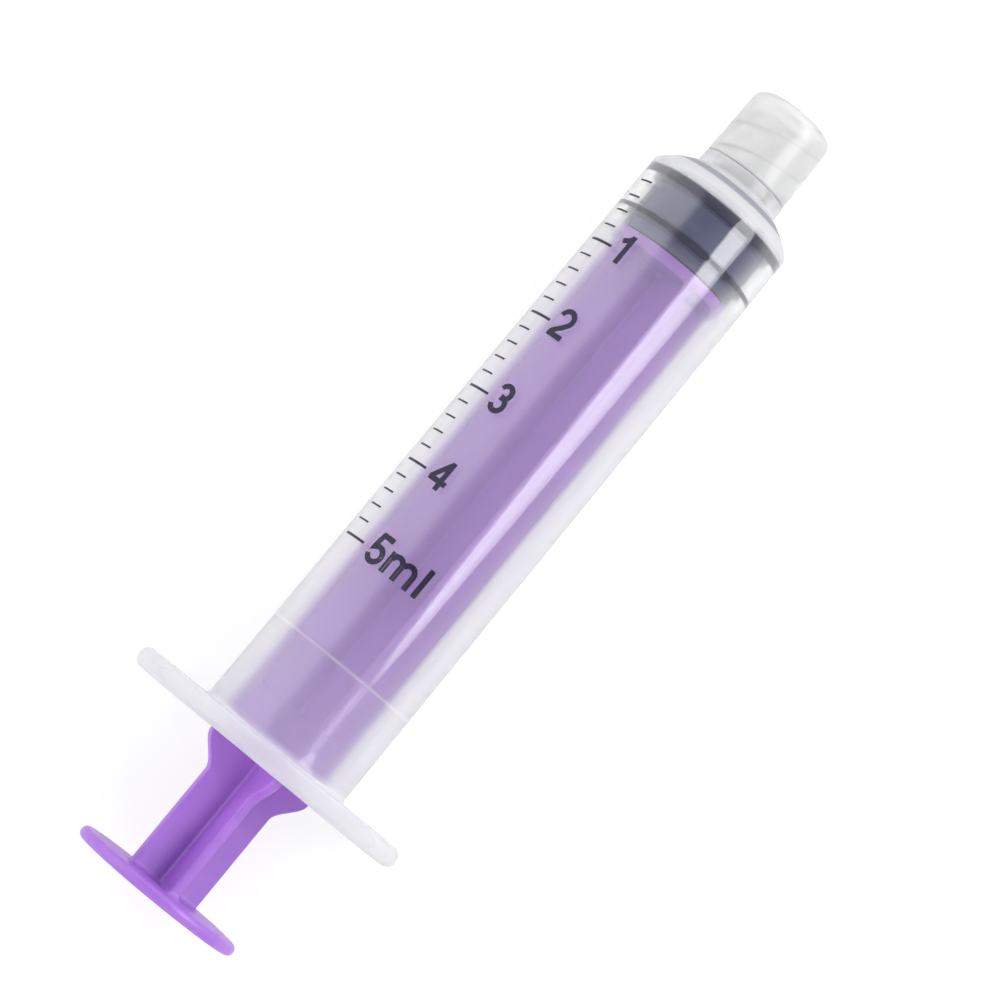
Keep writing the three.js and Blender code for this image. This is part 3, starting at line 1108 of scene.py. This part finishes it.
@dataclass
class PlungerRod:
    """The purple moulding: thumb rest, ribs, disc and head, in millimetres from the thumb rest."""

    back: float
    length: float
    head_end: float
    turn_degrees: float = 22.0
    thumb: float = 8.25
    thumb_thickness: float = 1.1
    thumb_edge: float = 0.5
    dish: float = 6.35
    dish_slope: float = 0.7
    dish_depth: float = 0.12
    rib: float = 5.57
    rib_half: float = 0.45
    root_fillet: float = 0.28
    tip_edge: float = 0.14
    waist: float = 3.6
    waist_length: float = 9.9
    flare_length: float = 3.0
    foot: float = 0.45
    foot_root: float = 0.36
    foot_tip: float = 0.225
    overlap: float = 0.3
    disc: float = 5.75
    disc_thickness: float = 1.1
    neck: float = 2.5
    head: float = 3.9
    head_length: float = 1.74

    def reach(self, along: float) -> float:
        """Gives the ribs' reach from the axis at a distance from the thumb rest's back."""
        share = smooth((along - self.thumb_thickness - self.waist_length) / self.flare_length)
        return self.waist + (self.rib - self.waist) * share + self.foot_tip * self.foot_share(along)

    def foot_share(self, along: float) -> float:
        """Gives a rib's swelling, from 0 along the rib to 1 at a face that it stands on."""
        below = 1 - (along - self.thumb_thickness) / self.foot
        above = 1 - (self.length - self.disc_thickness - along) / self.foot
        return min(max(below, above, 0.0), 1.0) ** 2

    def stations(self) -> list[float]:
        """Lists the distances at which the ribs' section is set, from thumb rest to disc."""
        foot = evenly(self.thumb_thickness, self.thumb_thickness + self.foot, 5)
        start = self.thumb_thickness + self.waist_length
        flare = evenly(start, start + self.flare_length, 24)
        top = self.length - self.disc_thickness
        head = evenly(top - self.foot, top, 5)
        shaft = evenly(flare[-1], head[0], 12)[1:-1]
        return [foot[0] - self.overlap, *foot, *flare, *shaft, *head, top + self.overlap]

    def raise_ribs(self, mesh: BMesh) -> None:
        """Builds the four ribs: a square core along the axis, with each of its sides drawn out.

        Args:
            mesh: The mesh that they are added to.
        """
        stations = self.stations()
        core = bmesh.ops.create_grid(mesh, x_segments=1, y_segments=1, size=1)["verts"]
        bmesh.ops.rotate(mesh, verts=core, matrix=Matrix.Rotation(math.pi / 2, 3, "Y"))
        tip = list(mesh.faces)
        rings = [core]
        for _ in stations[1:]:
            tip, ring = draw_out(mesh, tip, keep=len(rings) == 1)
            rings.append(ring)
        for ring, along in zip(rings, stations):
            half = self.rib_half + self.foot_root * self.foot_share(along)
            for vert in ring:
                vert.co = (along, math.copysign(half, vert.co.y), math.copysign(half, vert.co.z))
        for axis, sign in ((1, 1), (1, -1), (2, 1), (2, -1)):
            side = [face for face in mesh.faces if self.on_core(face, axis, sign)]
            for vert in draw_out(mesh, side)[1]:
                vert.co[axis] = sign * self.reach(vert.co.x)

    def on_core(self, face: BMFace, axis: int, sign: int) -> bool:
        """Tells whether a face lies on one side of the square core, and not on a rib.

        Args:
            face: The face.
            axis: The way that the side faces, 1 for Y and 2 for Z.
            sign: 1 or -1, for up or down that way.

        Returns:
            True where it does.
        """
        limit = self.rib_half + self.foot
        near = all(abs(vert.co.y) < limit and abs(vert.co.z) < limit for vert in face.verts)
        return near and face.calc_center_median()[axis] * sign > self.rib_half * 0.9

    def soften_ribs(self, mesh: BMesh) -> None:
        """Fillets the ribs' roots and rounds their outer edges.

        Args:
            mesh: The mesh that holds them.
        """
        limit = (self.rib_half + self.foot) * 1.5
        roots, tips = [], []
        for edge in mesh.edges:
            one, two = edge.verts
            if abs(one.co.x - two.co.x) > 1e-4:
                (roots if polar(one)[0] < limit else tips).append(edge)
        rounded_edges(mesh, roots, self.root_fillet, 4)
        rounded_edges(mesh, [edge for edge in tips if edge.is_valid], self.tip_edge, 3)

    def thumb_rest(self) -> list[Corner]:
        """Draws the thumb rest's half section, with the shallow dish in its back."""
        return [
            Corner(self.dish_depth, 0),
            Corner(self.dish_depth, self.dish, 0.6),
            Corner(0, self.dish + self.dish_slope, 0.6),
            Corner(0, self.thumb, self.thumb_edge),
            Corner(self.thumb_thickness, self.thumb, self.thumb_edge),
            Corner(self.thumb_thickness, 0),
        ]

    def front_end(self) -> list[Corner]:
        """Draws the half section of the disc, neck and head."""
        head_start = self.head_end - self.head_length
        disc_back = self.length - self.disc_thickness
        return [
            Corner(disc_back, 0),
            Corner(disc_back, self.disc, 0.15),
            Corner(self.length, self.disc, 0.15),
            Corner(self.length, self.neck, 0.2),
            Corner(head_start, self.neck, 0.1),
            Corner(head_start, self.head, 0.15),
            Corner(self.head_end, self.head, 0.5),
            Corner(self.head_end, 0),
        ]

    def build(self) -> Object:
        """Builds and dresses the rod."""
        mesh = bmesh.new()
        self.raise_ribs(mesh)
        self.soften_ribs(mesh)
        turned = Matrix.Rotation(math.radians(self.turn_degrees), 3, "X")
        bmesh.ops.rotate(mesh, verts=mesh.verts, matrix=turned)
        for corners in (self.thumb_rest(), self.front_end()):
            part = bmesh.new()
            turn(part, corners)
            scratch = data_of("turned_part", part)
            mesh.from_mesh(scratch)
            bpy.data.meshes.remove(scratch)
        bmesh.ops.translate(mesh, vec=(self.back, 0, 0), verts=mesh.verts)
        piece = settle(mesh, "plunger_moulding", "rod", PurpleMoulding().material())
        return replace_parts(piece, "plunger_rod")


@dataclass
class TipCap:
    """The milky screw cap. Sizes in millimetres, stations from its open edge."""

    back: float
    length: float = 7.1
    base: float = 4.1
    top: float = 3.98
    inner: float = 3.5
    top_thickness: float = 0.95
    corner: float = 1.1
    dome: float = 0.12
    plug: float = 1.85
    plug_length: float = 2.6
    plug_taper: float = 0.12
    thread_height: float = 0.18
    thread_crest: float = 66.95
    thread_margins: tuple = (0.25, 0.35)

    def build(self) -> Object:
        """Builds and dresses the cap."""
        roof = self.length - self.top_thickness
        corners = [
            Corner(roof - self.plug_length, 0),
            Corner(roof - self.plug_length, self.plug - self.plug_taper, 0.3),
            Corner(roof, self.plug, 0.2),
            Corner(roof, self.inner, 0.25, cuts=44),
            Corner(0, self.inner, 0.1),
            Corner(0, self.base, 0.15),
            Corner(self.length - self.dome, self.top, self.corner),
            Corner(self.length, 0),
        ]
        mesh = bmesh.new()
        turn(mesh, corners)
        bmesh.ops.translate(mesh, vec=(self.back, 0, 0), verts=mesh.verts)
        low, high = self.thread_margins
        thread = Thread(self.thread_crest, self.back + low, self.back + roof - high)
        thread.raise_on(mesh, self.inner, -self.thread_height)
        piece = settle(mesh, "screw_cap", "cap", MilkyMoulding(thread).material())
        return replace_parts(piece, "tip_cap")


# ---- studio


@dataclass(frozen=True)
class SoftBox:
    """One soft studio lamp, aimed at the syringe, in metres and watts."""

    name: str
    place: tuple[float, float, float]
    size: tuple[float, float]
    power: float
    roll: float

    def hang(self) -> None:
        """Hangs the lamp and aims it straight across at the syringe's axis."""
        target = Vector((self.place[0], 0, AXIS_HEIGHT))
        lamp = bpy.data.lights.new(self.name, "AREA")
        lamp.shape = "ELLIPSE"
        lamp.size, lamp.size_y = self.size
        lamp.energy = self.power
        aim = (target - Vector(self.place)).to_track_quat("-Z", "Y").to_matrix()
        roll = Matrix.Rotation(math.radians(self.roll), 3, "Z")
        turned = Matrix.Translation(self.place) @ (aim @ roll).to_4x4()
        show(self.name, lamp).matrix_world = turned


@dataclass(frozen=True)
class Studio:
    """The floor, lamps, surrounding light and camera. Sizes in metres, angles in degrees."""

    zenith: float = 0.25
    # Each side of the surrounding light: where it starts, where it is full, and how bright it is.
    low: tuple = (0.45, 0.0, 0.8)
    left: tuple = (0.34, 0.6, 2.05)
    right: tuple = (-0.95, -0.975, 1.0)
    ends: tuple = (0.35, 0.65, 1.5)
    back: tuple = (-0.12, -0.4, 1.25)
    key: SoftBox = SoftBox("key_box", (0.25, -0.452, 0.417), (0.5, 0.365), 3.2, -10.0)
    floor_glow: float = 0.73
    floor_size: float = 6.0
    foot_station: float = 0.0173
    distance: float = 0.330
    lean: float = 4.7
    roll: float = 39.53
    aside: float = 0.00132
    focal_length: float = 140.0
    sensor: float = 36.0

    def floor(self) -> None:
        """Lays the floor."""
        mesh = bmesh.new()
        bmesh.ops.create_grid(mesh, x_segments=8, y_segments=8, size=self.floor_size / 2)
        data = data_of("floor", mesh)
        data.materials.append(PaleFloor(self.floor_glow).material())
        show("floor", data)

    def surroundings(self) -> None:
        """Sets the light from all round: dim overhead, and bright low down and on every side."""
        recipe = Recipe(bpy.data.worlds.new("studio"))
        along, aside, up = recipe.split(recipe.node("ShaderNodeTexCoord", output="Generated"))
        ways = (up, aside, aside, along.absolute(), along)
        glow = 0.0
        for way, side in zip(ways, (self.low, self.left, self.right, self.ends, self.back)):
            start, full, bright = side
            glow = (way.ramp(start, full) * (bright - self.zenith)).larger(glow)
        inputs = {"Color": (1, 1, 1, 1), "Strength": glow + self.zenith}
        light = recipe.node("ShaderNodeBackground", inputs=inputs)
        bpy.context.scene.world = recipe.finish(light, "World")

    def camera(self) -> None:
        """Sets the camera over the syringe, leaning towards its tip and rolled."""
        lean, roll = math.radians(self.lean), math.radians(self.roll)
        foot = ROD_LOW.x + self.foot_station
        ahead = Vector((math.sin(lean), 0, -math.cos(lean)))
        tipward = Vector((math.cos(lean), 0, math.sin(lean)))
        aside = Vector((0, -1, 0))
        up = tipward * math.cos(roll) - aside * math.sin(roll)
        right = tipward * math.sin(roll) + aside * math.cos(roll)
        turned = Matrix((right, up, -ahead)).transposed()
        data = bpy.data.cameras.new("camera")
        data.lens = self.focal_length
        data.sensor_width = self.sensor
        data.clip_start = 0.01
        made = show("camera", data)
        place = Vector((foot, -self.aside, AXIS_HEIGHT + self.distance))
        made.matrix_world = Matrix.Translation(place) @ turned.to_4x4()
        bpy.context.scene.camera = made

    def build(self) -> None:
        """Sets the whole studio."""
        self.camera()
        self.floor()
        self.surroundings()
        self.key.hang()
        bpy.context.scene.view_settings.view_transform = "Standard"


def main() -> None:
    """Builds the studio and the syringe in order."""
    Studio().build()
    barrel = Barrel()
    barrel.build()
    PrintedScale(barrel, zero_station=station_of(SEAL_HIGH.x) - ZERO_SETBACK).build()
    PistonSeal(back=station_of(SEAL_LOW.x), bore=barrel.bore).build()
    back = station_of(ROD_LOW.x)
    length = station_of(SEAL_LOW.x) - SEAL_GAP - back
    PlungerRod(back=back, length=length, head_end=station_of(ROD_HIGH.x) - back).build()
    TipCap(back=station_of(CAP_LOW.x)).build()


if __name__ == "__main__":
    main()
